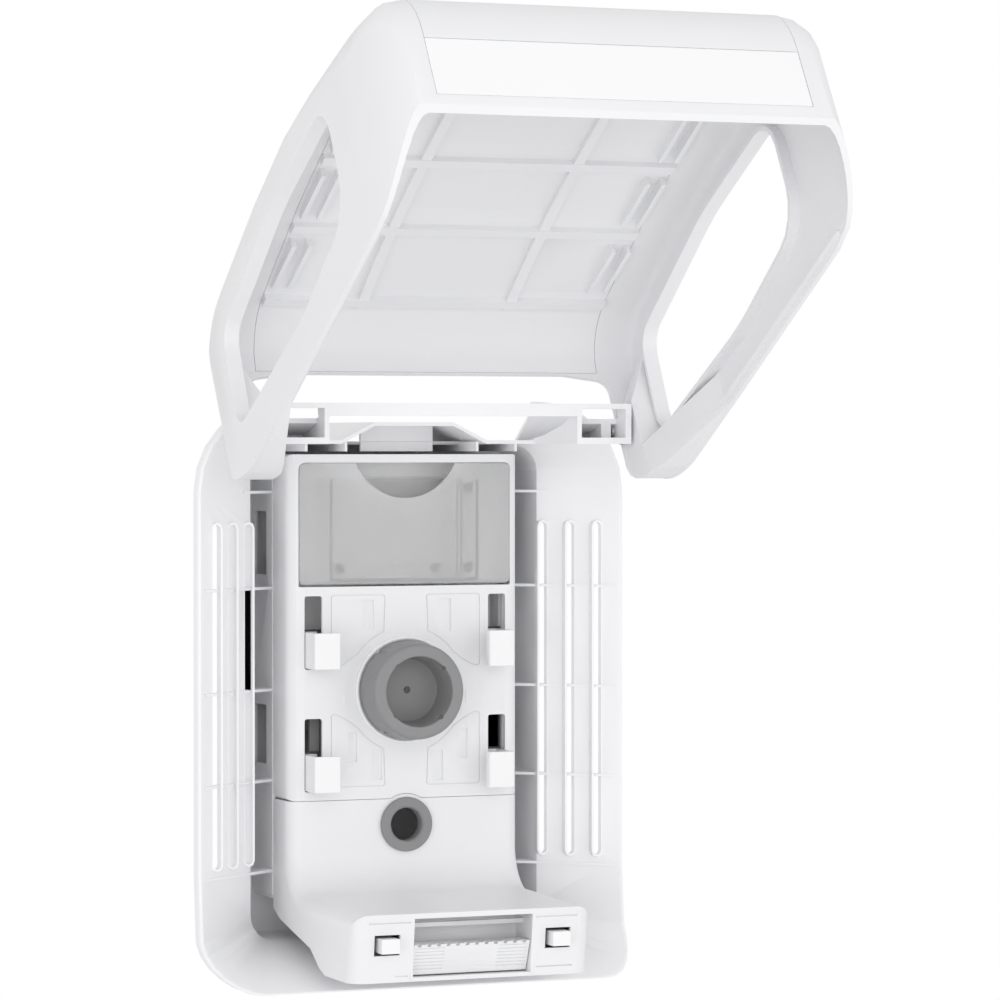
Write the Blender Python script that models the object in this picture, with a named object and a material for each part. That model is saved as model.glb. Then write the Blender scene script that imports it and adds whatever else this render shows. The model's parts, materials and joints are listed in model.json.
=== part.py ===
"""Wall-mounted equipment housing with a lift-up cover, shown with the cover open.

Frame: the wall is the plane Y = 0, the front faces -Y, +X is the right-hand side and +Z is up.
Lengths below are millimetres; "f" is the distance in front of the wall, so y = -f.
"""
import math

import bmesh
import bpy
from mathutils import Matrix, Vector

MM = 0.001
GAP = 0.3                      # clearance kept between pieces that touch

# Driving dimensions --------------------------------------------------------
HALF_WIDTH = 152.0             # housing rim and cover, measured from the centre plane
WALL = 2.5                     # moulded wall of the housing and the module
COVER_WALL = 3.0
RIM_F = 97.5                   # front edge of the housing rim
TOP_Z, BOTTOM_Z = 194.0, -193.0
TRAY_HALF, TRAY_TOP, TRAY_BOTTOM = 103.5, 165.0, -168.0   # deep centre of the housing
WING_F = 60.0                  # where the flared wings leave the deep centre
BASE_F = 142.5                 # front edge of the swept bottom

HINGE_F, HINGE_Z = 151.0, 174.0
OPEN_DEG = 121.5               # the open cover, measured from closed
PIN_R = 3.5
BRACKET_END = 125.7

PANEL_F = 80.0                 # front face of the module
MODULE_HALF = 83.0
MODULE_BACK_F = 47.0
MODULE_TOP, SEAM_Z = 158.5, -73.0
LEDGE_F, LEDGE_Z = 206.0, -136.163

HOOK_RISE = 20.0               # how far a quarter turn of the hub lifts the hooks
CRANK_R = HOOK_RISE / math.sqrt(2.0)
HUB_R = 33.3
GROMMET_Z = -90.6
TRAY_AXIS_F, TRAY_AXIS_Z = 74.0, 75.0
LIP_REAR_F = 152.0             # rear edge of the cover's lower lip

WHITE = (0.86, 0.86, 0.87)
BRIGHT = (0.93, 0.93, 0.94)
MID_GREY = (0.30, 0.30, 0.31)
DARK_GREY = (0.16, 0.16, 0.165)
STEEL = (0.62, 0.62, 0.63)


# Scene and materials -------------------------------------------------------
def clear_scene():
    for obj in list(bpy.data.objects):
        bpy.data.objects.remove(obj, do_unlink=True)


def plastic(name, colour, roughness, metallic=0.0, alpha=1.0):
    material = bpy.data.materials.new(name)
    material.use_nodes = True
    shader = material.node_tree.nodes["Principled BSDF"]
    shader.inputs["Base Color"].default_value = (*colour, 1.0)
    shader.inputs["Roughness"].default_value = roughness
    shader.inputs["Metallic"].default_value = metallic
    shader.inputs["Alpha"].default_value = alpha
    return material


# Solids --------------------------------------------------------------------
def pt(x, f, z):
    return Vector((x * MM, -f * MM, z * MM))


def is_flat(face):
    centre, normal = face.calc_center_median(), face.normal
    return all(abs((vert.co - centre).dot(normal)) < 1e-8 for vert in face.verts)


def solid(name, points, faces):
    mesh = bpy.data.meshes.new(name)
    bm = bmesh.new()
    verts = [bm.verts.new(point) for point in points]
    for face in faces:
        bm.faces.new([verts[i] for i in face])
    bm.normal_update()
    warped = [face for face in bm.faces if not is_flat(face)]
    bmesh.ops.triangulate(bm, faces=warped)
    bmesh.ops.recalc_face_normals(bm, faces=bm.faces)
    bm.to_mesh(mesh)
    bm.free()
    obj = bpy.data.objects.new(name, mesh)
    bpy.context.scene.collection.objects.link(obj)
    return obj


def rings_to_solid(name, rings, closed_path=False):
    """Skins a list of equal rings; an open path is capped at both ends."""
    count, size = len(rings), len(rings[0])
    points = [point for ring in rings for point in ring]
    faces = []
    for i in range(count if closed_path else count - 1):
        for j in range(size):
            k, nxt = (j + 1) % size, (i + 1) % count
            faces.append((i * size + j, i * size + k, nxt * size + k, nxt * size + j))
    if not closed_path:
        faces.append(tuple(range(size)))
        faces.append(tuple(range((count - 1) * size, count * size)))
    return solid(name, points, faces)


def prism_x(name, outline, x0, x1):
    """Outline in (f, z), extruded from x0 to x1."""
    return rings_to_solid(name, [[pt(x, f, z) for f, z in outline] for x in (x0, x1)])


def prism_f(name, outline, f0, f1):
    """Outline in (x, z), extruded from f0 to f1."""
    return rings_to_solid(name, [[pt(x, f, z) for x, z in outline] for f in (f0, f1)])


def prism_z(name, outline, z0, z1):
    """Outline in (x, f), extruded from z0 to z1."""
    return rings_to_solid(name, [[pt(x, f, z) for x, f in outline] for z in (z0, z1)])


def box(name, x0, x1, f0, f1, z0, z1):
    return prism_x(name, [(f0, z0), (f1, z0), (f1, z1), (f0, z1)], x0, x1)


def turned(name, profile, axis, centre, segments=40):
    """Profile of (radius, position) pairs turned about an axis along "x" or "f"."""
    rings = []
    for radius, place in profile:
        ring = []
        for k in range(segments):
            a = 2 * math.pi * k / segments
            u, v = radius * math.cos(a), radius * math.sin(a)
            if axis == "f":
                ring.append(pt(centre[0] + u, place, centre[1] + v))
            else:
                ring.append(pt(place, centre[0] + u, centre[1] + v))
        rings.append(ring)
    return rings_to_solid(name, rings)


def rod(name, axis, centre, radius, start, end, segments=32):
    return turned(name, [(radius, start), (radius, end)], axis, centre, segments)


def tube(name, axis, centre, outer, inner, start, end, segments=32):
    profile = [(outer, start), (outer, end), (inner, end), (inner, start)]
    rings = []
    for radius, place in profile:
        ring = []
        for k in range(segments):
            a = 2 * math.pi * k / segments
            u, v = radius * math.cos(a), radius * math.sin(a)
            point = pt(centre[0] + u, place, centre[1] + v) if axis == "f" \
                else pt(place, centre[0] + u, centre[1] + v)
            ring.append(point)
        rings.append(ring)
    return rings_to_solid(name, rings, closed_path=True)


def arc(cx, cy, radius, start_deg, end_deg, steps):
    return [(cx + radius * math.cos(math.radians(start_deg + (end_deg - start_deg) * i / steps)),
             cy + radius * math.sin(math.radians(start_deg + (end_deg - start_deg) * i / steps)))
            for i in range(steps + 1)]


def rounded_rect(u0, u1, v0, v1, radius, steps=4):
    corners = [(u1 - radius, v1 - radius, 0), (u0 + radius, v1 - radius, 90),
               (u0 + radius, v0 + radius, 180), (u1 - radius, v0 + radius, 270)]
    outline = []
    for cu, cv, start in corners:
        outline += arc(cu, cv, radius, start, start + 90, steps)
    return outline


def rounded_polygon(corners, steps=6):
    """Corners are (u, v, radius); every corner becomes an arc tangent to its two sides."""
    outline = []
    count = len(corners)
    for i, (u, v, radius) in enumerate(corners):
        here = Vector((u, v))
        before = Vector(corners[i - 1][:2]) - here
        after = Vector(corners[(i + 1) % count][:2]) - here
        half = before.angle(after) / 2
        reach = radius / math.tan(half)
        middle = here + (before.normalized() + after.normalized()).normalized() * radius / math.sin(half)
        first = here + before.normalized() * reach - middle
        last = here + after.normalized() * reach - middle
        sweep = first.angle_signed(last)
        for k in range(steps + 1):
            turn = Matrix.Rotation(-sweep * k / steps, 2)
            outline.append(tuple(middle + turn @ first))
    return outline


def grown(outline, distance):
    """Moves an outline outwards by a distance, along the normals of its corners."""
    area = sum(a[0] * b[1] - b[0] * a[1] for a, b in zip(outline, outline[1:] + outline[:1]))
    side = 1 if area > 0 else -1
    result = []
    for i, point in enumerate(outline):
        along = Vector(outline[(i + 1) % len(outline)]) - Vector(outline[i - 1])
        normal = Vector((along.y, -along.x)).normalized() * side
        result.append(tuple(Vector(point) + normal * distance))
    return result


def combine(target, tool, operation):
    """Applies one exact Boolean and deletes the tool."""
    modifier = target.modifiers.new("combine", 'BOOLEAN')
    modifier.operation = operation
    modifier.solver = 'EXACT'
    modifier.object = tool
    graph = bpy.context.evaluated_depsgraph_get()
    mesh = bpy.data.meshes.new_from_object(target.evaluated_get(graph))
    target.modifiers.clear()
    target.data = mesh
    bpy.data.objects.remove(tool, do_unlink=True)


def cut(target, *tools):
    for tool in tools:
        combine(target, tool, 'DIFFERENCE')


def join(target, *tools):
    for tool in tools:
        combine(target, tool, 'UNION')


def keep_inside(target, tool):
    combine(target, tool, 'INTERSECT')


def copy_of(obj, name):
    twin = bpy.data.objects.new(name, obj.data.copy())
    bpy.context.scene.collection.objects.link(twin)
    return twin


def finish(obj, material, sharp_deg=30):
    """Gives a finished node its material and smooth shading."""
    bm = bmesh.new()
    bm.from_mesh(obj.data)
    bmesh.ops.remove_doubles(bm, verts=bm.verts, dist=0.00001)
    bmesh.ops.dissolve_degenerate(bm, edges=bm.edges, dist=0.00001)
    bm.to_mesh(obj.data)
    bm.free()
    obj.data.name = obj.name
    obj.data.materials.clear()
    obj.data.materials.append(material)
    obj.data.shade_smooth()
    obj.data.set_sharp_from_angle(angle=math.radians(sharp_deg))
    return obj


def set_origin(obj, x, f, z):
    """Moves the object's origin without moving its shape."""
    place = pt(x, f, z)
    obj.data.transform(Matrix.Translation(-place))
    obj.location = place


# Back housing --------------------------------------------------------------
def rim_front(z):
    """Front edge of the rim: level at the sides, sweeping forward along the bottom."""
    sweep = min(max((-150.0 - z) / (-150.0 - BOTTOM_Z), 0.0), 1.0)
    return RIM_F + (BASE_F - RIM_F) * sweep ** 2


def housing_stations():
    """Pairs of inner and outer points, (x, z), once round the housing."""
    inner_r, top_r, bottom_r = 18.0, 60.0, 30.0
    right = []
    for inner, outer in zip(arc(TRAY_HALF - inner_r, TRAY_TOP - inner_r, inner_r, 90, 0, 6),
                            arc(HALF_WIDTH - top_r, TOP_Z - top_r, top_r, 90, 0, 6)):
        right.append((inner, outer))
    for step in (0.3, 0.6, 0.85):
        inner_z = (TRAY_TOP - inner_r) * (1 - step) + (TRAY_BOTTOM + inner_r) * step
        outer_z = (TOP_Z - top_r) * (1 - step) + (BOTTOM_Z + bottom_r) * step
        right.append(((TRAY_HALF, inner_z), (HALF_WIDTH, outer_z)))
    for inner, outer in zip(arc(TRAY_HALF - inner_r, TRAY_BOTTOM + inner_r, inner_r, 0, -90, 6),
                            arc(HALF_WIDTH - bottom_r, BOTTOM_Z + bottom_r, bottom_r, 0, -90, 6)):
        right.append((inner, outer))
    left = [((-i[0], i[1]), (-o[0], o[1])) for i, o in reversed(right)]
    return right + left


def housing_ring(inner, outer):
    """Cross-section of the tray wall, the wing and the rim, between two points of the outline."""
    direction = Vector(outer) - Vector(inner)
    width = direction.length
    direction.normalize()
    front = rim_front(outer[1])
    slope = (front - 1.0 - WING_F) / (width - 3.5)
    drop = WALL * math.sqrt(1 + slope * slope)
    back = lambda u: WING_F + slope * u - drop
    lip_back = min(front - 10.0, back(width - WALL) - 0.5)
    section = [(0.0, 0.5), (0.0, WING_F), (width - 3.5, front - 1.0), (width - 2.0, front),
               (width - 0.6, front - 0.5), (width, front - 2.0), (width, lip_back),
               (width - WALL, lip_back), (width - WALL, back(width - WALL)),
               (WALL, back(WALL)), (WALL, 0.5)]
    return [pt(inner[0] + direction.x * u, f, inner[1] + direction.y * u) for u, f in section]


SLOT_PLACES = ((106.3, 65.0), (121.5, 77.4), (136.4, 89.4))    # x and collar front of each slot
SLOT_TOP, SLOT_BOTTOM = 112.0, -115.5


def racetrack(x, half, z0, z1):
    return arc(x, z1 - half, half, 0, 180, 4) + arc(x, z0 + half, half, 180, 360, 4)


def top_strip():
    """Top wall of the housing, raised over the middle."""
    upper = [(-88.4, 168), (-52, 168), (-28, 180), (28, 180), (52, 168), (88.4, 168)]
    lower = [(x, z - WALL) for x, z in reversed(upper)]
    return prism_f("top_wall", upper + lower, 2.0, 97.0)


# Side views of a hinge bracket and of the room in it: the top sweeps up from the housing to the bar.
BRACKET = ((60, 165.4), (171.2, 165.4), (171.2, 191.8), (166, 191.8), (163, 184.6), (145, 178),
           (114, 171.5), (80, 167.2), (60, 166.8))
BRACKET_ROOM = ((126, 169.6), (175, 169.6), (175, 188.6), (168.2, 188.6), (164.8, 181.8), (145.6, 175.4),
                (126, 171.2))


def hinge_bracket(housing):
    bar = box("bracket_bar", -BRACKET_END, BRACKET_END, 158, 171.4, 183.7, 192.0)
    for side in (-1, 1):
        join(bar, prism_x("bracket", BRACKET, side * 86.8, side * BRACKET_END))
        cut(bar, prism_x("bracket_room", BRACKET_ROOM, side * 90.0, side * 110.5),
            prism_x("bracket_room", BRACKET_ROOM, side * 117.5, side * 121.5),
            box("bracket_mouth", side * 90.0, side * 121.5, 156, 175, 169.6, 188.6))
    join(housing, bar)
    for side in (-1, 1):
        cut(housing, rod("pin_bore", "x", (HINGE_F, HINGE_Z), PIN_R + 0.12, side * 119, side * 130, 32))


def make_back_housing(material):
    housing = rings_to_solid("back_housing", [housing_ring(i, o) for i, o in housing_stations()],
                             closed_path=True)
    cut(housing, box("top_notch", -87.2, 87.2, -5, 120, 167.2, 220))
    join(housing, prism_f("back_plate", rounded_rect(-104.7, 104.7, -169.2, 166.2, 18.5), 0.0, 3.0))
    join(housing, top_strip())
    well = prism_f("well", rounded_rect(-83.5, 83.5, -142, 158, 4, 2), 2.0, 46.5)
    cut(well, prism_f("well_room", rounded_rect(-81, 81, -139.5, 155.5, 2, 2), 3.0, 60.0))
    join(housing, well)
    for side in (-1, 1):
        for x, front in SLOT_PLACES:
            join(housing, prism_f("collar", racetrack(side * x, 4.2, SLOT_BOTTOM - 1.6, SLOT_TOP + 1.6),
                                  front - 5.0, front))
        for x, _ in SLOT_PLACES:
            cut(housing, prism_f("slot", racetrack(side * x, 2.7, SLOT_BOTTOM, SLOT_TOP), 30, 120))
        for z in (68.5, 0.0, -61.0, -122.0):
            join(housing, prism_z("web", [(side * 82.7, 38), (side * 82.7, 46.2), (side * 104.2, 61.9),
                                          (side * 146.8, 96.4), (side * 146.8, 90.0),
                                          (side * 109, 58), (side * 104.8, 40)], z - 0.9, z + 0.9))
        join(housing, prism_z("top_web", [(side * 82.7, 38), (side * 82.7, 46.2), (side * 104.2, 61.9),
                                          (side * 110, 66.4), (side * 110, 60),
                                          (side * 104.8, 40)], 132.2, 134.0))
        for z0, z1 in ((77, 120), (-51, -11)):
            cut(housing, box("snap_window", side * 78, side * 86, 8, 34, z0, z1))
    hinge_bracket(housing)
    for x in (-50, 50):
        cut(housing, rod("keyhole_head", "f", (x, 110), 5.0, -5, 8, 20))
        cut(housing, box("keyhole_neck", x - 2.4, x + 2.4, -5, 8, 110, 121))
        cut(housing, rod("fixing_hole", "f", (x, -115), 2.6, -5, 8, 16))
    join(housing, box("niche_back", -26, 26, 60, 62.5, 160.5, 179))
    for x in (-75, -47, 47, 75):
        join(housing, box("top_rib", x - 0.9, x + 0.9, 4, 92, 160.5, 167))
    return finish(housing, material)


# Cover, modelled closed and then turned open about the hinge -----------------
COVER_TOP, COVER_BOTTOM = 180.0, -185.0
TOP_TURN, BOTTOM_TURN = 146.0, -158.0        # where the front starts to curve in, top and bottom
LOWER_DROP = BOTTOM_TURN - COVER_BOTTOM
CORNER_Z = -118.0                            # where the sides start to draw in and to recede
REAR_F = 100.0


def smooth(t):
    t = min(max(t, 0.0), 1.0)
    return t * t * (3 - 2 * t)


def quarter(t):
    """Rises from 0 to 1 along a quarter circle, starting level."""
    t = min(max(t, 0.0), 1.0)
    return 1 - math.sqrt(1 - t * t)


def bowed_front(z):
    """Front of the cover in side view: a shallow bow that curves in at both ends."""
    if z > -20.0:
        front = 247.5 - 10.0 * ((z + 20.0) / 145.0) ** 2
    else:
        front = 247.5 - 4.5 * ((z + 20.0) / 135.0) ** 2
    front -= 27.0 * quarter((z - TOP_TURN) / (COVER_TOP - TOP_TURN))
    return front - 40.0 * quarter((BOTTOM_TURN - z) / LOWER_DROP)


def rear_edge(z):
    """Rear edge of the cover: straight, rounded off at the ear and sweeping forward to the lip."""
    rear = REAR_F + 30.0 * quarter((z - 112.0) / 74.0) + 8.0 * quarter((z - 170.0) / (COVER_TOP - 170.0))
    return rear + (LIP_REAR_F - REAR_F) * corner_part(z) ** 2.4


def corner_part(z):
    """Runs from 0 where the lower corners start to 1 at the bottom."""
    return min(max((CORNER_Z - z) / (CORNER_Z - COVER_BOTTOM), 0.0), 1.0)


def half_width(z):
    """Half width of the cover: upright sides, drawn in towards the bottom."""
    return HALF_WIDTH - 22.0 * quarter(corner_part(z)) - 4.0 * quarter((z - 172.0) / (COVER_TOP - 172.0))


def corner_radius(z):
    """Radius between the front and the sides, seen from above."""
    return 9.0 + 17.0 * smooth((-20.0 - z) / 120.0) - 18.0 * quarter((BOTTOM_TURN - z) / LOWER_DROP)


def cover_levels():
    bottom = [BOTTOM_TURN - LOWER_DROP * math.sin(math.radians(a)) for a in (90, 76, 62, 48, 32, 16)]
    middle = [BOTTOM_TURN, -149.0, -139.0, CORNER_Z, -70.0, -20.0, 50.0, 132.0]
    top = [TOP_TURN, 153.0, 160.0, 166.0, 172.0, 177.0, COVER_TOP]
    return bottom + middle + top


def cover_block(name, inset, rear_reach):
    """Closed block with the cover's outer shape, drawn in by inset."""
    low, high = COVER_BOTTOM + inset, COVER_TOP - inset
    rings = []
    for level in cover_levels():
        z = low + (level - COVER_BOTTOM) * (high - low) / (COVER_TOP - COVER_BOTTOM)
        half = half_width(level) - inset
        front = bowed_front(level) - inset
        corner = max(corner_radius(level) - inset, 0.8)
        right = [(half, rear_edge(level) - rear_reach)] + arc(half - corner, front - corner, corner, 0, 90, 3)
        left = [(-x, f) for x, f in reversed(right)]
        rings.append([pt(x, f, z) for x, f in right + left])
    return rings_to_solid(name, rings)


def window_outline():
    return rounded_polygon([(217, -94, 22), (139, -92, 30), (128, 10, 240), (135, 148, 15),
                            (206, 143, 17), (221, 20, 260)], 4)


def top_opening():
    """Plan of the opening round the hinge bracket, (x, f)."""
    right = [(127.5, 60), (127.5, 184)] + arc(117.5, 184, 10, 20, 70, 3) + [(96, 197.5)]
    left = [(-x, f) for x, f in reversed(right)]
    return right + left


# The ear that carries each hinge pin thickens towards the hinge along two arms.
REAR_ARM = ((151.5, 44), (148, 62), (127.8, 150), (127.8, 190), (151.5, 190))       # (x, z)
TOP_ARM = ((151.5, 208), (127.8, 160), (127.8, 100), (151.5, 100))                  # (x, f)


def cover_features():
    """Solids that stand inside the shell: reveals, ribs and the arms of the ears."""
    features = []
    frame = grown(window_outline(), 3.0)
    for side in (-1, 1):
        features.append(prism_x("reveal", frame, side * 142.0, side * 151.5))
        features.append(box("edge_rib", side * 145.5, side * 151.0, 104.0, 106.0, -130, 136))
        features.append(prism_f("rear_arm", [(side * x, z) for x, z in REAR_ARM], 90.0, 126.0))
        features.append(prism_z("top_arm", [(side * x, f) for x, f in TOP_ARM], 151.0, 190.0))
    features.append(box("lip_backing", -126, 126, 152.2, 199.5, -183.3, -181.3))
    return features


def panel_ribs():
    ribs = []
    for z in (-140.0, -70.0, 0.0, 70.0, 141.0):
        f = bowed_front(z)
        ribs.append(box("cross_rib", -PANEL_HALF + 1, PANEL_HALF - 1, f - 7.0, f - 1.0, z - 4.0, z + 4.0))
    for x in (-52.0, 52.0):
        outline = [(bowed_front(z) - 1.0, z) for z in (-146, -100, -50, 0, 50, 100, 146)]
        outline += [(f - 5.5, z) for f, z in reversed(outline)]
        ribs.append(prism_x("upright_rib", outline, x - 3.5, x + 3.5))
    for side in (-1, 1):
        for z in (-105.0, -35.0, 35.0, 105.0):
            f = bowed_front(z)
            ribs.append(box("clip_rail", side * 104.0, side * 107.0, f - 9.0, f - 1.0, z - 24, z + 24))
            ribs.append(box("clip_rail", side * 115.0, side * 118.0, f - 9.0, f - 1.0, z - 24, z + 24))
    return ribs


PANEL_HALF, PANEL_REAR_F = 121.0, 198.4
LIP_SEAT_Z = COVER_BOTTOM + 1.7


def make_cover(white, gloss):
    shell = cover_block("shell", 0.0, 0.0)
    cut(shell, cover_block("room", COVER_WALL, 60.0))
    panel = copy_of(shell, "cover_front_panel")
    limit = cover_block("limit", 0.6, 0.0)
    for feature in cover_features():
        keep_inside(feature, copy_of(limit, "limit_copy"))
        join(shell, feature)
    for side in (-1, 1):
        cut(shell, prism_x("window", window_outline(), side * 110, side * 170),
            rod("ear_bore", "x", (HINGE_F, HINGE_Z), PIN_R + GAP, side * 120, side * 149.5, 32))
    for piece in (shell, panel):
        cut(piece, prism_z("top_opening", top_opening(), 175, 200))
    cut(shell, box("panel_seat", -PANEL_HALF, PANEL_HALF, PANEL_REAR_F, 270, -200, 200))
    keep_inside(panel, box("panel_limit", -PANEL_HALF + GAP, PANEL_HALF - GAP, PANEL_REAR_F + GAP, 270,
                           -200, 200))
    inner = cover_block("inner_limit", 0.6, 0.0)
    for rib in panel_ribs():
        keep_inside(rib, copy_of(inner, "inner_copy"))
        join(panel, rib)
    for helper in (limit, inner):
        bpy.data.objects.remove(helper, do_unlink=True)

    cut(shell, box("strip_seat", -PANEL_HALF, PANEL_HALF, 158, 200, COVER_BOTTOM - 5, LIP_SEAT_Z))
    strip = box("cover_lip_strip", -PANEL_HALF + GAP, PANEL_HALF - GAP, 158 + GAP, PANEL_REAR_F,
                COVER_BOTTOM, LIP_SEAT_Z - GAP)
    shell.name = "cover_frame"
    pieces = [finish(shell, white), finish(panel, white), finish(strip, gloss)]
    for piece in pieces:
        set_origin(piece, 0, HINGE_F, HINGE_Z)
        piece.rotation_euler.x = math.radians(-OPEN_DEG)
    return pieces


def make_hinge(steel, grey):
    for side, word in ((-1, "left"), (1, "right")):
        pin = rod("hinge_pin_" + word, "x", (HINGE_F, HINGE_Z), PIN_R, side * 119.2, side * 149.2, 32)
        set_origin(finish(pin, steel), side * 131, HINGE_F, HINGE_Z)
        washer = tube("friction_washer_" + word, "x", (HINGE_F, HINGE_Z), 9.0, PIN_R + GAP,
                      side * 126.1, side * 127.4)
        set_origin(finish(washer, grey), side * 126.8, HINGE_F, HINGE_Z)


# Module --------------------------------------------------------------------
HOOK_ROWS = (("upper", 15.6, 63.8), ("lower", -66.4, -18.2))   # foot of the hook, top of its slot
HOOK_HEIGHT = 24.2
SLOT_IN, SLOT_OUT = 59.6, 72.1


SOFT_R = 11.0                  # radius of the module's upright front edges


def soft_front():
    """Plan of the module, (x, f), with its two front corners rounded."""
    reach, front = MODULE_HALF - SOFT_R, PANEL_F - SOFT_R
    return ([(-MODULE_HALF, 0), (MODULE_HALF, 0)] + arc(reach, front, SOFT_R, 0, 90, 6)
            + arc(-reach, front, SOFT_R, 90, 180, 6))


def make_hook_panel(material):
    outline = rounded_rect(-MODULE_HALF, MODULE_HALF, SEAM_Z, MODULE_TOP, 4.0, 3)
    panel = prism_f("hook_panel", outline, MODULE_BACK_F, PANEL_F)
    cut(panel, box("panel_room", -80.5, 80.5, 30, PANEL_F - WALL, SEAM_Z + 2.0, MODULE_TOP - WALL))
    for side in (-1, 1):
        join(panel, box("pin_rest", side * 76.6, side * 81, 69.5, 78, 70.8, 79.2),
             box("corner_bar", side * 76.6, side * 81, 72.4, 78, SEAM_Z + 1.0, MODULE_TOP - 1.5))
    keep_inside(panel, prism_z("soft_corners", soft_front(), -200, 200))
    cut(panel, rod("pin_hole", "x", (TRAY_AXIS_F, TRAY_AXIS_Z), 1.9, -80.2, 80.2, 20))
    mouth = rounded_polygon([(-76.0, 69.9, 1.0), (76.0, 69.9, 1.0), (76.0, 153.0, 4.3), (-76.0, 153.0, 4.3)], 3)
    cut(panel, prism_f("tray_mouth", mouth, PANEL_F - 4, 90))
    cut(panel, rod("hub_hole", "f", (0, 0), 9.12, 60, 90, 40))
    cut(panel, rod("grommet_hump", "f", (0, GROMMET_Z), 20.8, 30, 90, 48))
    for _, foot, top in HOOK_ROWS:
        for side in (-1, 1):
            u0, u1 = sorted((side * SLOT_IN, side * SLOT_OUT))
            cut(panel, prism_f("hook_slot", rounded_rect(u0, u1, foot - 0.8, top, 1.5, 2), 70, 90))
    return finish(panel, material)


def block_outline():
    top = SEAM_Z - GAP
    return ([(MODULE_BACK_F, top), (PANEL_F, top), (PANEL_F, -108)]
            + arc(PANEL_F + 26, -108, 26, 186, 262, 7)
            + [(LEDGE_F, LEDGE_Z), (LEDGE_F - 5, -180.5), (150, -180.5),
               (140, -177), (122, -166), (60, -153), (MODULE_BACK_F, -147)])


def block_room():
    return ([(30, -60), (PANEL_F - WALL, -60), (PANEL_F - WALL, -108)]
            + arc(PANEL_F + 26, -108, 28.5, 186, 262, 7)
            + [(LEDGE_F - 3.2, LEDGE_Z - 2.9), (LEDGE_F - 7.4, -178),
               (151, -178), (142, -175), (123, -163.5), (60, -150.4), (30, -144)])


def side_room():
    """The room carried on behind the rounded side edges."""
    return ([(30, -60), (65, -60), (65, -108)] + arc(PANEL_F + 26, -108, 41, 180, 262, 4)
            + [(190, -151.5), (188, -178), (151, -178), (142, -175), (123, -163.5), (60, -150.4), (30, -144)])


def round_sides(block):
    """Rounds the edges between the block's sides and its swept front."""
    bm = bmesh.new()
    bm.from_mesh(block.data)
    front = []
    for edge in bm.edges:
        one, two = (vert.co / MM for vert in edge.verts)
        on_side = abs(abs(one.x) - MODULE_HALF) < 0.01 and abs(one.x - two.x) < 0.01
        forward = min(-one.y, -two.y) > PANEL_F - 0.5 and max(one.z, two.z) > LEDGE_Z - 1.0
        if on_side and forward and edge.calc_face_angle() > 0.5:
            front.append(edge)
    bmesh.ops.bevel(bm, geom=front, offset=SOFT_R * MM, segments=6, profile=0.5, affect='EDGES',
                    clamp_overlap=False)
    bmesh.ops.triangulate(bm, faces=[face for face in bm.faces if not is_flat(face)])
    bm.to_mesh(block.data)
    bm.free()


BUTTON_TOP, BUTTON_BOTTOM = -157.0, -177.0
LUG_X, LUG_HALF, LUG_Z0, LUG_Z1 = 59.2, 6.2, -160.8, -151.4


def make_lower_block(material):
    block = prism_x("lower_block", block_outline(), -MODULE_HALF, MODULE_HALF)
    round_sides(block)
    hump = rod("hump", "f", (0, GROMMET_Z), 20.5, MODULE_BACK_F, PANEL_F, 48)
    cut(hump, box("hump_low", -30, 30, 30, 90, -120, -80))
    join(block, hump)
    cut(block, prism_x("block_room", block_room(), -72, 72), prism_x("side_room", side_room(), -80.5, 80.5))
    cut(block, rod("grommet_hole", "f", (0, GROMMET_Z), 15.8, 60, 90, 40))
    join(block, box("recess_back", -42, 42, 174, 176, -179.5, -137.5),
         box("recess_bar", -42, 42, 186, 188.5, -147, -144.2),
         box("recess_side", -42.5, -40.9, 174.5, 202, -179.5, -137.8),
         box("recess_side", 42.5, 40.9, 174.5, 202, -179.5, -137.8))
    cut(block, box("button_mouth", -40.9, 40.9, 196, 215, -177.9, -139.6))
    for side in (-1, 1):
        cut(block, rod("stem_hole", "f", (side * 25, -166), 2.4, 170, 180, 20))
        x0, x1 = sorted((side * (LUG_X - LUG_HALF - 2.6), side * (LUG_X + LUG_HALF + 2.6)))
        cut(block, box("lug_mouth", x0, x1, 196, 215, LUG_Z0 - 2, LUG_Z1 + 2))
    return finish(block, material)


def make_clear_tray(material):
    tray = prism_f("clear_tray", rounded_rect(-75.6, 75.6, 70.8, 152.6, 4.0, 3), 77.2, 79.8)
    rolled_edge = [(70, 154), (79.8, 154)] + arc(76.3, 74.3, 3.5, 0, -90, 4) + [(70, 70.8)]
    keep_inside(tray, prism_x("front_limit", rolled_edge, -80, 80))
    walls = prism_f("tray_walls", rounded_rect(-53.6, 53.6, 73.0, 142, 2.0, 2), 52.0, 78.0)
    cut(walls, prism_f("tray_room", rounded_rect(-51.4, 51.4, 75.2, 150, 1.2, 2), 54.2, 90))
    join(tray, walls)
    for side in (-1, 1):
        join(tray, rod("pin_boss", "x", (TRAY_AXIS_F, TRAY_AXIS_Z), 3.6, side * 68.2, side * 75.3, 20))
        cut(tray, rod("pin_seat", "x", (TRAY_AXIS_F, TRAY_AXIS_Z), 1.6 + GAP, side * 69.5, side * 80, 20))
    notch_r = 38.5
    cut(tray, rod("notch", "f", (0, 152.6 + notch_r - 23.6), notch_r, 74, 85, 56))
    set_origin(tray, 0, TRAY_AXIS_F, TRAY_AXIS_Z)
    return finish(tray, material)


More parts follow.
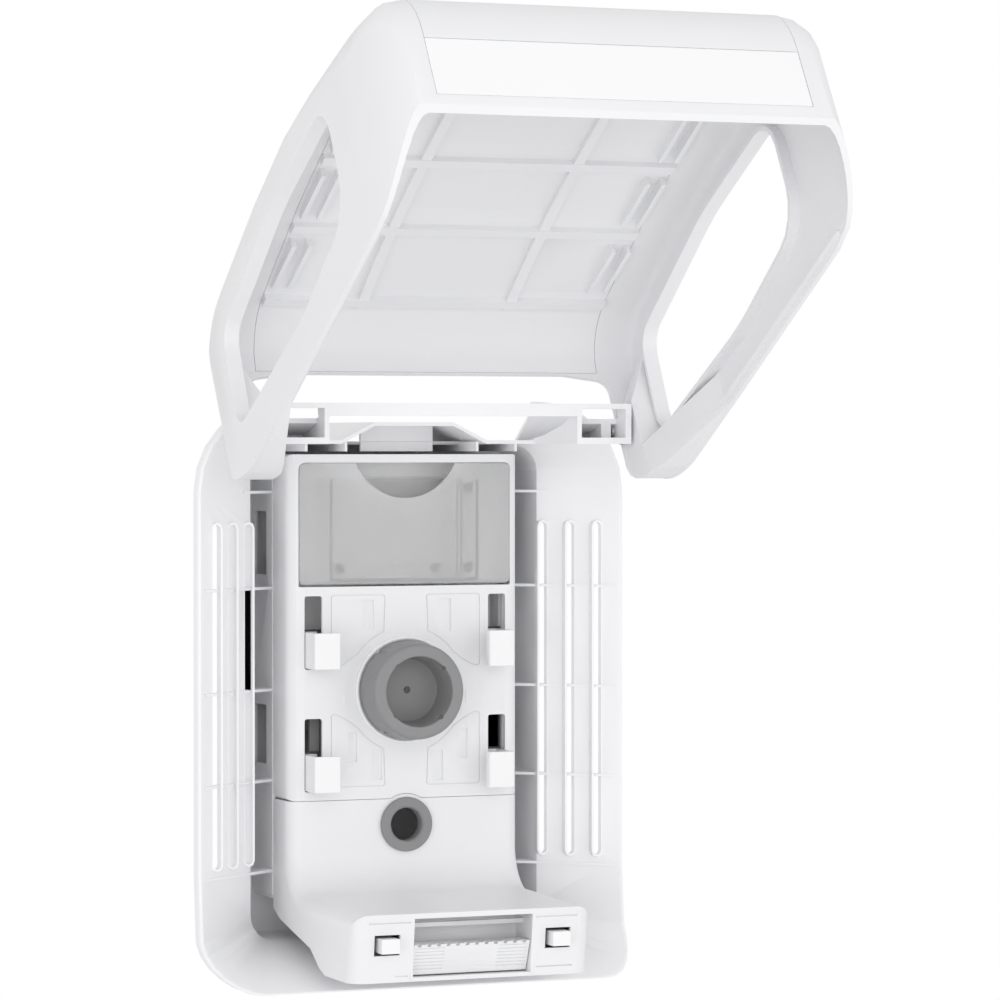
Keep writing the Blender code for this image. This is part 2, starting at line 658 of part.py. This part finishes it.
def make_hook(name, side, foot, material):
    """L-shaped hook: foot on the carrier, arm through the slot, lip turned to the middle."""
    outline = [(60.0, 68.8), (71.5, 68.8), (71.5, 98.5), (70.5, 99.5), (54.0, 99.5), (52.8, 98.3),
               (52.8, 93.5), (54.6, 93.5), (55.6, 96.8), (68.9, 96.8), (68.9, 71.4), (60.0, 71.4)]
    hook = prism_z(name, [(side * x, f) for x, f in outline], foot, foot + HOOK_HEIGHT)
    set_origin(hook, side * 65, 68.8, foot)
    return finish(hook, material)


def make_carrier(material):
    carrier = box("hook_carrier", -77.4, 77.4, 66.0, 68.5, -70.0, 41.0)
    for side in (-1, 1):
        cut(carrier, box("clear_slot", side * 57.0, side * 72.2, 60, 75, -41.0, -15.0),
            box("lightening", side * 24.0, side * 50.0, 60, 75, -60.0, 30.0))
    cut(carrier, box("spindle_slot", -5.7, 5.7, 60, 75, -32.0, 6.5),
        box("crank_slot", 6.7, 18.0, 60, 75, -13.4, -6.6))
    return finish(carrier, material)


def make_hub(grey):
    profile = [(HUB_R, 80.6), (HUB_R - 0.6, 92.0), (HUB_R - 1.8, 104.0), (HUB_R - 3.4, 106.6),
               (23.6, 106.6), (22.4, 105.6), (21.2, 82.2), (2.4, 82.2), (2.4, 81.0), (0.02, 81.0)]
    hub = turned("hub_dial", profile, "f", (0, 0), 40)
    shaft = turned("hub_shaft", [(9.0, 81.2), (9.0, 74.0), (5.0, 73.0), (5.0, 59.0)], "f", (0, 0), 40)
    join(hub, shaft)
    cut(hub, rod("screw_bore", "f", (0, 0), 1.9, 50, 72, 20))
    for k in range(4):
        a = math.radians(45 + 90 * k)
        cut(hub, rod("rim_notch", "f", (22.8 * math.cos(a), 22.8 * math.sin(a)), 2.6, 98, 112, 12))
    return finish(hub, grey)


def make_crank(grey, steel):
    crank = rod("crank_disc", "f", (0, 0), 18.5, 60.0, 63.5, 40)
    cut(crank, rod("bore", "f", (0, 0), 5.0 + GAP, 50, 70, 32))
    half = CRANK_R / math.sqrt(2.0)
    join(crank, rod("crank_pin", "f", (half, -half), 2.5, 62.0, 71.5, 20))
    finish(crank, grey)
    screw = turned("crank_screw", [(6.4, 56.0), (6.4, 58.6), (1.6, 58.6), (1.6, 70.0)], "f", (0, 0), 24)
    finish(screw, steel)


def make_back_plate(material):
    plate = box("module_back_plate", -80.2, 80.2, 47.3, 50.0, -70.5, 155.5)
    for side in (-1, 1):
        rail = box("rail", side * 73.0, side * 79.4, 49.5, 72.0, -70.2, 66.0)
        cut(rail, box("groove", side * 70.0, side * 77.8, 65.6, 68.9, -80.0, 80.0))
        join(plate, rail)
        for x, z in ((45, 79), (71, 130)):
            join(plate, rod("screw_post", "f", (side * x, z), 3.2, 49.5, 51.8 if x < 60 else 66.0, 20))
        cut(plate, box("light_window", side * 58, side * 71, 40, 60, -64.0, -14.0))
        for z in (-62.0, 148.0):
            cut(plate, rod("screw_hole", "f", (side * 66, z), 2.2, 40, 60, 16))
    return finish(plate, material)


def make_module_screws(steel):
    number = 0
    for x in (-66, 66):
        for z in (-62.0, 148.0):
            number += 1
            finish(turned("module_screw_%d" % number, [(3.6, 44.6), (3.6, 47.0), (1.6, 47.0), (1.6, 60.0)],
                          "f", (x, z), 16), steel)


def make_grommet(rubber):
    profile = [(18.3, 80.3), (18.3, 81.9), (17.2, 82.9), (13.6, 82.9), (11.0, 81.6), (11.0, 73.4),
               (17.4, 73.4), (17.4, 77.2), (15.5, 77.2), (15.5, 80.3)]
    rings = []
    for radius, place in profile:
        rings.append([pt(radius * math.cos(2 * math.pi * k / 32), place,
                         GROMMET_Z + radius * math.sin(2 * math.pi * k / 32)) for k in range(32)])
    return finish(rings_to_solid("grommet", rings, closed_path=True), rubber)


def make_push_button(white):
    outline = [(202.6, BUTTON_TOP), (194.8, BUTTON_BOTTOM), (184, BUTTON_BOTTOM), (184, BUTTON_TOP)]
    button = prism_x("push_button", outline, -40.2, 40.2)
    for side in (-1, 1):
        join(button, rod("stem", "f", (side * 25, -166), 2.1, 170.9, 190, 20))
    for k in range(12):
        x = -36.3 + 6.6 * k
        cut(button, box("grip", x - 1.3, x + 1.3, 197.5, 210, BUTTON_TOP - 1.4, BUTTON_TOP + 2))
    set_origin(button, 0, 184, -167)
    return finish(button, white)


def make_latch_bar(white):
    bar = box("latch_bar", -66, 66, 166.5, 170.5, -171.0, -151.0)
    for side in (-1, 1):
        join(bar, box("lug_arm", side * (LUG_X - LUG_HALF), side * (LUG_X + LUG_HALF), 167, 211.0,
                      LUG_Z0, LUG_Z1))
    set_origin(bar, 0, 168, -160)
    return finish(bar, white)


def make_springs(steel):
    """Two coil springs between the recess wall and the button."""
    wire, radius, turns, start, end = 0.5, 3.9, 4, 176.9, 183.1
    per_turn, sides = 8, 4
    for side, word in ((-1, "left"), (1, "right")):
        rings = []
        for i in range(turns * per_turn + 1):
            a = 2 * math.pi * i / per_turn
            f = start + (end - start) * i / (turns * per_turn)
            ring = []
            for k in range(sides):
                b = 2 * math.pi * k / sides
                r = radius + wire * math.cos(b)
                ring.append(pt(side * 25 + r * math.cos(a), f + wire * math.sin(b), -166 + r * math.sin(a)))
            rings.append(ring)
        finish(rings_to_solid("button_spring_" + word, rings), steel)


def main():
    clear_scene()
    white = plastic("white_plastic", WHITE, 0.42)
    bright = plastic("bright_plastic", BRIGHT, 0.35)
    gloss = plastic("gloss_white", BRIGHT, 0.12)
    clear = plastic("clear_plastic", (0.92, 0.93, 0.94), 0.08, alpha=0.3)
    grey = plastic("grey_plastic", MID_GREY, 0.5)
    dark = plastic("dark_plastic", DARK_GREY, 0.6)
    rubber = plastic("grey_rubber", MID_GREY, 0.75)
    steel = plastic("steel", STEEL, 0.3, 1.0)

    make_back_housing(white)
    make_cover(white, gloss)
    make_hinge(steel, dark)
    make_hook_panel(white)
    make_lower_block(white)
    make_clear_tray(clear)
    for side, word in ((-1, "left"), (1, "right")):
        pin = rod("tray_pin_" + word, "x", (TRAY_AXIS_F, TRAY_AXIS_Z), 1.6, side * 69.8, side * 79.9, 20)
        set_origin(finish(pin, steel), side * 75, TRAY_AXIS_F, TRAY_AXIS_Z)
        for row, foot, _ in HOOK_ROWS:
            make_hook("hook_" + row + "_" + word, side, foot, bright)
    make_carrier(dark)
    make_hub(grey)
    finish(tube("hub_bezel", "f", (0, 0), 36.2, HUB_R + 0.8, PANEL_F + GAP, 81.8, 48), bright)
    make_crank(dark, steel)
    make_back_plate(white)
    make_module_screws(steel)
    finish(turned("tray_rest_pad", [(9.8, 50.3), (9.8, 51.4), (9.0, 51.7)], "f", (0, 113), 32), rubber)
    make_grommet(rubber)
    make_push_button(white)
    make_latch_bar(bright)
    make_springs(steel)


main()
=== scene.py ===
"""Finished look of the wall-mounted equipment housing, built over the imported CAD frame.

Frame: the wall is the plane Y = 0, the front faces -Y, +X is the right-hand side and +Z is up.
Lengths in the calls are millimetres; "f" is the distance in front of the wall, so y = -f.
"""

import json
import math

import bmesh
import bpy
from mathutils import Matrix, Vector


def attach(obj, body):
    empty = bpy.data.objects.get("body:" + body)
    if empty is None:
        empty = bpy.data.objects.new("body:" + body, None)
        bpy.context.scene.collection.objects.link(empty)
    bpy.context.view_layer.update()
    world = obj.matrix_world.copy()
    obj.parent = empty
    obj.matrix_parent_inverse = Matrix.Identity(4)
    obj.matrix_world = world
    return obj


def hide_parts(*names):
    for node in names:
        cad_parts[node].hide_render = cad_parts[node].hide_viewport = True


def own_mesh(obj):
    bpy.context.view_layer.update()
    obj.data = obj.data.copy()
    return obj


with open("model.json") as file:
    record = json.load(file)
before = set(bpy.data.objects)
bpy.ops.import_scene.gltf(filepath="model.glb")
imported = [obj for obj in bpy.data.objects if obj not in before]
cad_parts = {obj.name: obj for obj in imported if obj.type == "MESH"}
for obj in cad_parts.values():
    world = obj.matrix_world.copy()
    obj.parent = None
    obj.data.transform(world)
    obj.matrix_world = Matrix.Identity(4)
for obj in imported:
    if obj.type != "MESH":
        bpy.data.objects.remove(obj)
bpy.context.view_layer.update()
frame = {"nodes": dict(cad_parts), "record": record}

MM = 0.001
HUB_R = 33.3
GROMMET_Z = -90.6
PANEL_F = 80.0                 # front face of the hook panel
PAD_IN, PAD_OUT, PAD_TOP, PAD_CURVE = 15.0, 53.2, 64.2, 42.3
GROOVE = 0.35                  # half width of the outline of each corner pad
SCOOPS = ((-31.3, -22.9, 40.6, 60.7), (24.0, 32.7, 39.0, 61.3), (-41.4, -35.0, -47.8, -27.6),
          (-24.3, -17.1, -60.4, -40.0), (19.6, 26.8, -61.7, -41.2), (37.7, 44.6, -47.3, -26.8))
RIM_SLOTS = ((-121.0, -108.5, -187.0, -184.5), (-105.5, -86.5, -188.0, -185.0))
BUTTON_TOP, BUTTON_TOP_F, BUTTON_SLOPE = -157.0, 202.6, (202.6 - 194.8) / 20.0
RIB_COUNT, RIB_TOP, RIB_PITCH = 7, -159.6, 2.3
FLOOR_Z, FLOOR_R = -0.62, 2.0  # metres


# Materials -----------------------------------------------------------------
def node(tree, kind, **values):
    made = tree.nodes.new(kind)
    for key, value in values.items():
        if key in made.inputs:
            made.inputs[key].default_value = value
        else:
            setattr(made, key, value)
    return made


def noise(tree, place, scale, detail):
    made = node(tree, "ShaderNodeTexNoise", Scale=scale, Detail=detail)
    tree.links.new(place.outputs["Object"], made.inputs["Vector"])
    return made


def spread(tree, source, low, high):
    """Spreads the middle of a noise over a range."""
    made = node(tree, "ShaderNodeMapRange")
    made.inputs["From Min"].default_value = 0.3
    made.inputs["From Max"].default_value = 0.7
    made.inputs["To Min"].default_value = low
    made.inputs["To Max"].default_value = high
    tree.links.new(source.outputs["Fac"], made.inputs["Value"])
    return made


def moulded(name, colour, tint, rough, grain, depth, cloud=18.0, metallic=0.0):
    """Moulded material: soft drift in colour, fine variation in gloss and a fine surface grain."""
    material = bpy.data.materials.new(name)
    material.use_nodes = True
    tree = material.node_tree
    shader = tree.nodes["Principled BSDF"]
    place = node(tree, "ShaderNodeTexCoord")
    drift = spread(tree, noise(tree, place, cloud, 2.0), 0.0, 1.0)
    mix = node(tree, "ShaderNodeMix", data_type='RGBA')
    mix.inputs["A"].default_value = (*colour, 1.0)
    mix.inputs["B"].default_value = (*(c * tint for c in colour), 1.0)
    tree.links.new(drift.outputs["Result"], mix.inputs["Factor"])
    tree.links.new(mix.outputs["Result"], shader.inputs["Base Color"])
    gloss = spread(tree, noise(tree, place, 140.0, 3.0), rough - 0.04, rough + 0.05)
    tree.links.new(gloss.outputs["Result"], shader.inputs["Roughness"])
    bump = node(tree, "ShaderNodeBump", Strength=depth, Distance=0.0001)
    tree.links.new(noise(tree, place, grain, 4.0).outputs["Fac"], bump.inputs["Height"])
    tree.links.new(bump.outputs["Normal"], shader.inputs["Normal"])
    shader.inputs["Metallic"].default_value = metallic
    return material


def clear_moulded(name):
    material = moulded(name, (0.95, 0.95, 0.955), 0.985, 0.12, 900.0, 0.1)
    shader = material.node_tree.nodes["Principled BSDF"]
    shader.inputs["Transmission Weight"].default_value = 0.64
    shader.inputs["IOR"].default_value = 1.25
    return material


WHITE = moulded("white_moulding", (0.845, 0.845, 0.86), 0.985, 0.44, 2600.0, 0.25)
SHELL = moulded("shell_moulding", (0.91, 0.91, 0.925), 0.985, 0.44, 2600.0, 0.25)
BRIGHT = moulded("bright_moulding", (0.90, 0.90, 0.905), 0.985, 0.36, 2600.0, 0.15)
GLOSS = moulded("gloss_moulding", (0.92, 0.92, 0.93), 0.99, 0.14, 800.0, 0.04)
CLEAR = clear_moulded("clear_moulding")
GREY = moulded("grey_moulding", (0.265, 0.265, 0.27), 0.95, 0.5, 2600.0, 0.3)
# Dark plastic for the friction washers and the crank wheel; also used as painted shade on the hook carrier and on
# the hub bore disc.
DARK_AND_SHADE = moulded("dark_moulding_and_painted_shade", (0.10, 0.10, 0.105), 0.92, 0.6, 2600.0, 0.3)
RUBBER = moulded("rubber_moulding", (0.27, 0.27, 0.275), 0.93, 0.75, 1800.0, 0.4)
STEEL = moulded("steel_rod", (0.60, 0.60, 0.61), 0.93, 0.3, 1200.0, 0.1, metallic=1.0)


# Solids --------------------------------------------------------------------
def pt(x, f, z):
    return Vector((x * MM, -f * MM, z * MM))


def is_flat(face):
    centre, normal = face.calc_center_median(), face.normal
    return all(abs((vert.co - centre).dot(normal)) < 1e-8 for vert in face.verts)


def solid(name, points, faces):
    mesh = bpy.data.meshes.new(name)
    bm = bmesh.new()
    verts = [bm.verts.new(point) for point in points]
    for face in faces:
        bm.faces.new([verts[i] for i in face])
    bm.normal_update()
    warped = [face for face in bm.faces if not is_flat(face) and len(face.verts) > 4]
    bmesh.ops.triangulate(bm, faces=warped)
    bmesh.ops.recalc_face_normals(bm, faces=bm.faces)
    bm.to_mesh(mesh)
    bm.free()
    obj = bpy.data.objects.new(name, mesh)
    bpy.context.scene.collection.objects.link(obj)
    return obj


def skin(name, rings, closed_path=False):
    """Skins a list of equal rings; an open path is capped at both ends."""
    count, size = len(rings), len(rings[0])
    points = [point for ring in rings for point in ring]
    faces = []
    for i in range(count if closed_path else count - 1):
        for j in range(size):
            k, nxt = (j + 1) % size, (i + 1) % count
            faces.append((i * size + j, i * size + k, nxt * size + k, nxt * size + j))
    if not closed_path:
        faces.append(tuple(range(size)))
        faces.append(tuple(range((count - 1) * size, count * size)))
    return solid(name, points, faces)


def prism_x(name, outline, x0, x1):
    return skin(name, [[pt(x, f, z) for f, z in outline] for x in (x0, x1)])


def prism_z(name, outline, z0, z1):
    return skin(name, [[pt(x, f, z) for x, f in outline] for z in (z0, z1)])


def box(name, x0, x1, f0, f1, z0, z1):
    return prism_x(name, [(f0, z0), (f1, z0), (f1, z1), (f0, z1)], x0, x1)


def turned(name, profile, centre, segments=96, closed_path=False):
    """Profile of (radius, f) pairs turned about an axis along f."""
    rings = []
    for radius, place in profile:
        ring = []
        for k in range(segments):
            a = 2 * math.pi * k / segments
            ring.append(pt(centre[0] + radius * math.cos(a), place, centre[1] + radius * math.sin(a)))
        rings.append(ring)
    return skin(name, rings, closed_path)


def rod(name, centre, radius, start, end, segments):
    """Round rod along f."""
    rings = []
    for place in (start, end):
        ring = []
        for k in range(segments):
            a = 2 * math.pi * k / segments
            u, v = centre[0] + radius * math.cos(a), centre[1] + radius * math.sin(a)
            ring.append(pt(u, place, v))
        rings.append(ring)
    return skin(name, rings)


def arc(cx, cy, radius, start_deg, end_deg, steps):
    return [(cx + radius * math.cos(math.radians(start_deg + (end_deg - start_deg) * i / steps)),
             cy + radius * math.sin(math.radians(start_deg + (end_deg - start_deg) * i / steps)))
            for i in range(steps + 1)]


def grown(outline, distance):
    """Moves an outline outwards by a distance, along the normals of its corners."""
    area = sum(a[0] * b[1] - b[0] * a[1] for a, b in zip(outline, outline[1:] + outline[:1]))
    side = 1 if area > 0 else -1
    result = []
    for i, point in enumerate(outline):
        along = Vector(outline[(i + 1) % len(outline)]) - Vector(outline[i - 1])
        normal = Vector((along.y, -along.x)).normalized() * side
        result.append(tuple(Vector(point) + normal * distance))
    return result


def combine(target, tool, operation):
    """Applies one exact Boolean and deletes the tool."""
    modifier = target.modifiers.new("combine", 'BOOLEAN')
    modifier.operation = operation
    modifier.solver = 'EXACT'
    modifier.object = tool
    graph = bpy.context.evaluated_depsgraph_get()
    mesh = bpy.data.meshes.new_from_object(target.evaluated_get(graph))
    target.modifiers.clear()
    target.data = mesh
    bpy.data.objects.remove(tool, do_unlink=True)


def cut(target, *tools):
    for tool in tools:
        combine(target, tool, 'DIFFERENCE')


def join(target, *tools):
    for tool in tools:
        combine(target, tool, 'UNION')


# Finishing -----------------------------------------------------------------
def clean(obj, merge=0.00002, flat_deg=0.6):
    """Joins doubled corners and merges the triangles of flat faces."""
    bm = bmesh.new()
    bm.from_mesh(obj.data)
    bmesh.ops.remove_doubles(bm, verts=bm.verts, dist=merge)
    bmesh.ops.dissolve_degenerate(bm, edges=bm.edges, dist=merge)
    bmesh.ops.dissolve_limit(bm, angle_limit=math.radians(flat_deg), verts=bm.verts, edges=bm.edges)
    bm.to_mesh(obj.data)
    bm.free()


def finish(obj, body, material, bevel=0.4, segments=3, sharp_deg=35, replaces=(), tidy=True):
    """Rounds the edges, shades the piece smooth and hangs it on its body."""
    if tidy:
        clean(obj)
    obj.data.materials.clear()
    obj.data.materials.append(material)
    obj.data.shade_smooth()
    obj.data.set_sharp_from_angle(angle=math.radians(sharp_deg))
    if bevel:
        edge = obj.modifiers.new("edges", 'BEVEL')
        edge.width = bevel * MM
        edge.segments = segments
        edge.limit_method = 'ANGLE'
        edge.angle_limit = math.radians(sharp_deg)
        edge.harden_normals = True
        edge.use_clamp_overlap = True
        edge.miter_outer = 'MITER_ARC'
    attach(obj, body)
    if replaces:
        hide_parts(*replaces)
    return obj


def cad_copy(name, node_name):
    twin = bpy.data.objects.new(name, frame["nodes"][node_name].data.copy())
    bpy.context.scene.collection.objects.link(twin)
    return twin


BODY_OF = {n: b for b, members in frame["record"]["behaviour"]["bodies"].items() for n in members}


def dressed(node_name, name, material, bevel=0.4, segments=3, sharp_deg=35):
    """The CAD node itself with merged faces and rounded edges."""
    return finish(cad_copy(name, node_name), BODY_OF[node_name], material, bevel, segments, sharp_deg,
                  (node_name,))


# Housing -------------------------------------------------------------------
def make_housing():
    shell = cad_copy("housing_shell", "back_housing")
    for x0, x1, z0, z1 in RIM_SLOTS:
        cut(shell, box("rim_slot", x0, x1, 139.5, 146.0, z0, z1))
    finish(shell, "housing", SHELL, 0.5, 2, 35, ("back_housing",))


# Cover ---------------------------------------------------------------------
def make_cover():
    dressed("cover_frame", "cover_shell", WHITE, 0.8, 3)
    dressed("cover_front_panel", "cover_front", WHITE, 0.5, 3)
    dressed("cover_lip_strip", "lip_strip", GLOSS, 0.3, 2)
    for word in ("left", "right"):
        dressed("hinge_pin_" + word, "pin_" + word, STEEL, 0.4, 2)
        dressed("friction_washer_" + word, "washer_" + word, DARK_AND_SHADE, 0.2, 2)


# Module --------------------------------------------------------------------
def pad_outline(side, level):
    """One of the four corner pads round the hub, (x, z)."""
    outline = [(PAD_IN, PAD_TOP - 1.2), (PAD_IN + 1.2, PAD_TOP), (PAD_OUT - 1.2, PAD_TOP),
               (PAD_OUT, PAD_TOP - 1.2), (PAD_OUT, 17.0), (51.6, 15.5), (48.5, 16.1), (44.5, 18.0),
               (40.0, 20.8)]
    outline += arc(0, 0, PAD_CURVE, 36, 68, 10)
    return [(side * x, level * z) for x, z in outline]


def outline_ring(name, outline, half, f0, f1):
    """Closed band of twice the half width along an outline."""
    outer, inner = grown(outline, half), grown(outline, -half)
    rings = [[pt(o[0], f0, o[1]), pt(o[0], f1, o[1]), pt(i[0], f1, i[1]), pt(i[0], f0, i[1])]
             for o, i in zip(outer, inner)]
    return skin(name, rings, closed_path=True)


def scoop(x0, x1, z0, z1):
    """Shallow hollow that deepens towards +X."""
    floor_f, mouth_f = PANEL_F - 1.3, PANEL_F + 0.2
    section = [(x0, mouth_f), (x1, mouth_f), (x1, floor_f), (x1 - 1.6, floor_f), (x0, PANEL_F - 0.05)]
    return prism_z("scoop", section, z0, z1)


def make_module():
    panel = cad_copy("panel_shell", "hook_panel")
    for side in (-1, 1):
        for level in (-1, 1):
            cut(panel, outline_ring("pad_groove", pad_outline(side, level), GROOVE, PANEL_F - 0.7, PANEL_F + 1.0))
    for x0, x1, z0, z1 in SCOOPS:
        cut(panel, scoop(x0, x1, z0, z1))
    finish(panel, "housing", WHITE, 0.3, 3, 35, ("hook_panel",))
    for side, word in ((-1, "left"), (1, "right")):
        mark = box("turn_mark_" + word, side * 43.4, side * 44.4, 79.9, 80.35, -9.4, -2.2)
        join(mark, box("serif", side * 43.4, side * 46.4, 79.9, 80.35, -9.4, -8.6),
             box("serif", side * 43.4, side * 46.4, 79.9, 80.35, -3.0, -2.2))
        finish(mark, "housing", BRIGHT, 0.12, 2)
    tray = cad_copy("tray_shell", "clear_tray")
    for x, z in ((46.0, 82.0), (46.0, 136.0), (-46.0, 82.0), (22.0, 82.0)):
        join(tray, rod("screw_boss", (x, z), 3.6, 54.0, 77.6, 32))
    for x in (37.5, 40.5):
        join(tray, box("tray_rib", x, x + 1.0, 53.9, 77.6, 75.0, 141.8))
    finish(tray, BODY_OF["clear_tray"], CLEAR, 0.3, 2, 35, ("clear_tray",))
    for word in ("left", "right"):
        dressed("tray_pin_" + word, "tray_stub_" + word, STEEL, 0.2, 2)
        for row in ("upper", "lower"):
            dressed("hook_%s_%s" % (row, word), "%s_%s_hook" % (row, word), BRIGHT, 0.6, 3)
    # The hook carrier gets the dark material as painted shade for the shaded cavity behind the hook windows.
    dressed("hook_carrier", "carrier_plate_painted_shade", DARK_AND_SHADE, 0.3, 2)
    dressed("module_back_plate", "rear_plate", BRIGHT, 0.3, 2)
    dressed("crank_disc", "crank_wheel", DARK_AND_SHADE, 0.3, 2)
    dressed("crank_screw", "hub_screw", STEEL, 0.3, 2)
    dressed("tray_rest_pad", "rest_pad", RUBBER, 0.2, 2)
    for number in range(1, 5):
        dressed("module_screw_%d" % number, "plate_screw_%d" % number, STEEL, 0.2, 2)


def make_hub():
    profile = [(HUB_R - 0.5, 80.6), (HUB_R, 81.2), (HUB_R - 0.5, 92.0), (HUB_R - 1.2, 101.0)]
    profile += arc(HUB_R - 4.2, 103.6, 3.0, 0, 90, 8)
    profile += arc(24.4, 105.8, 0.8, 90, 180, 4)
    profile += [(22.4, 95.0), (21.2, 83.0), (20.4, 82.2), (2.4, 82.2), (2.2, 81.4), (0.02, 81.4)]
    hub = turned("hub_ring", profile, (0, 0), 128)
    for k in range(4):
        a = math.radians(42 + 90 * k)
        cut(hub, rod("rim_notch", (22.6 * math.cos(a), 22.6 * math.sin(a)), 2.0, 99, 112, 24))
    for a0 in (128, 238, 330):
        a = math.radians(a0)
        cut(hub, rod("grip_notch", (34.6 * math.cos(a), 34.6 * math.sin(a)), 2.4, 79, 99.5, 24))
    finish(hub, "hub", GREY, 0.35, 3, 35, ("hub_dial",))
    # Dark disc in the centre of the hub: painted shade standing in for the shaded screw bore.
    finish(turned("hub_bore_painted_shade", [(2.1, 81.0), (2.1, 82.3), (1.9, 82.35), (0.02, 82.35)], (0, 0), 32),
           "hub", DARK_AND_SHADE, 0)
    shaft = turned("hub_shaft", [(8.9, 81.0), (9.0, 80.0), (9.0, 74.2), (8.6, 73.6), (5.0, 73.0), (5.0, 59.0)],
                   (0, 0), 64)
    finish(shaft, "hub", GREY, 0.2, 2)
    ring = [(36.2, 80.3)] + arc(35.5, 81.1, 0.7, 0, 90, 4) + [(34.6, 81.8), (34.1, 81.4), (34.1, 80.3)]
    finish(turned("bezel_ring", ring, (0, 0), 128, True), "housing", BRIGHT, 0, replaces=("hub_bezel",))


def make_grommet():
    profile = [(18.3, 80.3), (18.3, 81.7)] + arc(17.1, 81.7, 1.2, 0, 90, 6)
    profile += [(13.4, 82.9)] + arc(13.4, 80.6, 2.3, 95, 170, 6)
    profile += [(11.0, 79.4), (11.0, 73.4), (17.4, 73.4), (17.4, 77.2), (15.5, 77.2), (15.5, 80.3)]
    finish(turned("inlet_ring", profile, (0, GROMMET_Z), 96, True), "housing", RUBBER, 0.2, 2,
           replaces=("grommet",))


def make_block():
    block = cad_copy("block_shell", "lower_block")
    for x0, x1 in ((-72.0, -43.5), (43.5, 72.0)):
        section = [(204.4, -141.4), (207.0, -141.1), (207.0, -142.3), (204.4, -142.0)]
        cut(block, prism_x("ledge_line", section, x0, x1))
    for x0, x1, z in ((-53.0, -44.6, -176.6), (44.6, 70.0, -174.6)):
        cut(block, box("lower_line", x0, x1, 200.6, 205.0, z - 0.4, z + 0.4))
    finish(block, BODY_OF["lower_block"], WHITE, 0.5, 3, 35, ("lower_block",))
    dressed("latch_bar", "latch_lugs", BRIGHT, 0.6, 3)
    button = cad_copy("button_cap", "push_button")
    for k in range(RIB_COUNT):
        z = RIB_TOP - RIB_PITCH * k
        f = BUTTON_TOP_F + BUTTON_SLOPE * (z - BUTTON_TOP)
        for side in (-1, 1):
            cut(button, prism_x("rib_groove", [(f - 0.8, z), (f + 1.0, z + 0.75), (f + 1.0, z - 0.75)],
                                side * 18.5, side * 38.6))
    finish(button, "button", WHITE, 0.25, 2, 30, ("push_button",))
    for side, word in ((-1, "left"), (1, "right")):
        coil = dressed("button_spring_" + word, "coil_" + word, STEEL, 0)
        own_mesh(coil)


# Studio --------------------------------------------------------------------
def make_studio():
    floor = bpy.data.meshes.new("floor")
    bm = bmesh.new()
    bmesh.ops.create_circle(bm, cap_ends=True, segments=96, radius=FLOOR_R)
    bm.to_mesh(floor)
    bm.free()
    disc = bpy.data.objects.new("floor", floor)
    disc.location = (0, 0, FLOOR_Z)
    bpy.context.scene.collection.objects.link(disc)
    floor.materials.append(moulded("floor_paint", (0.9, 0.9, 0.9), 0.99, 0.8, 30.0, 0.02, cloud=2.0))

    world = bpy.data.worlds.new("studio")
    bpy.context.scene.world = world
    world.use_nodes = True
    tree = world.node_tree
    back = tree.nodes["Background"]
    back.inputs["Color"].default_value = (1, 1, 1, 1)
    rays = node(tree, "ShaderNodeLightPath")
    level = node(tree, "ShaderNodeMapRange")
    level.inputs["To Min"].default_value = 0.84
    level.inputs["To Max"].default_value = 1.0
    tree.links.new(rays.outputs["Is Camera Ray"], level.inputs["Value"])
    tree.links.new(level.outputs["Result"], back.inputs["Strength"])

    for name, place, aim, size, power in (
            ("key_light", (-0.6, -2.5, 0.5), (0, -0.1, 0.1), 1.8, 8),
            ("fill_light", (1.5, -2.2, -0.1), (0, -0.1, 0.1), 1.6, 5),
            ("low_light", (-1.9, -1.9, -0.5), (0, -0.1, 0.0), 1.4, 8)):
        data = bpy.data.lights.new(name, 'AREA')
        data.shape = 'DISK'
        data.size = size
        data.energy = power
        lamp = bpy.data.objects.new(name, data)
        lamp.location = place
        lamp.rotation_euler = (Vector(aim) - Vector(place)).to_track_quat('-Z', 'Y').to_euler()
        bpy.context.scene.collection.objects.link(lamp)

    data = bpy.data.cameras.new("camera")
    data.sensor_width = 36.0
    data.lens = 148.848
    data.clip_end = 50.0
    camera = bpy.data.objects.new("camera", data)
    camera.location = (-0.97836, -2.68575, 0.16472)
    camera.rotation_euler = (math.pi / 2 - 0.0132943, 0.0, -0.3819690)
    bpy.context.scene.collection.objects.link(camera)
    bpy.context.scene.camera = camera
    bpy.context.scene.view_settings.view_transform = 'Standard'


make_housing()
make_cover()
make_module()
make_hub()
make_grommet()
make_block()
make_studio()
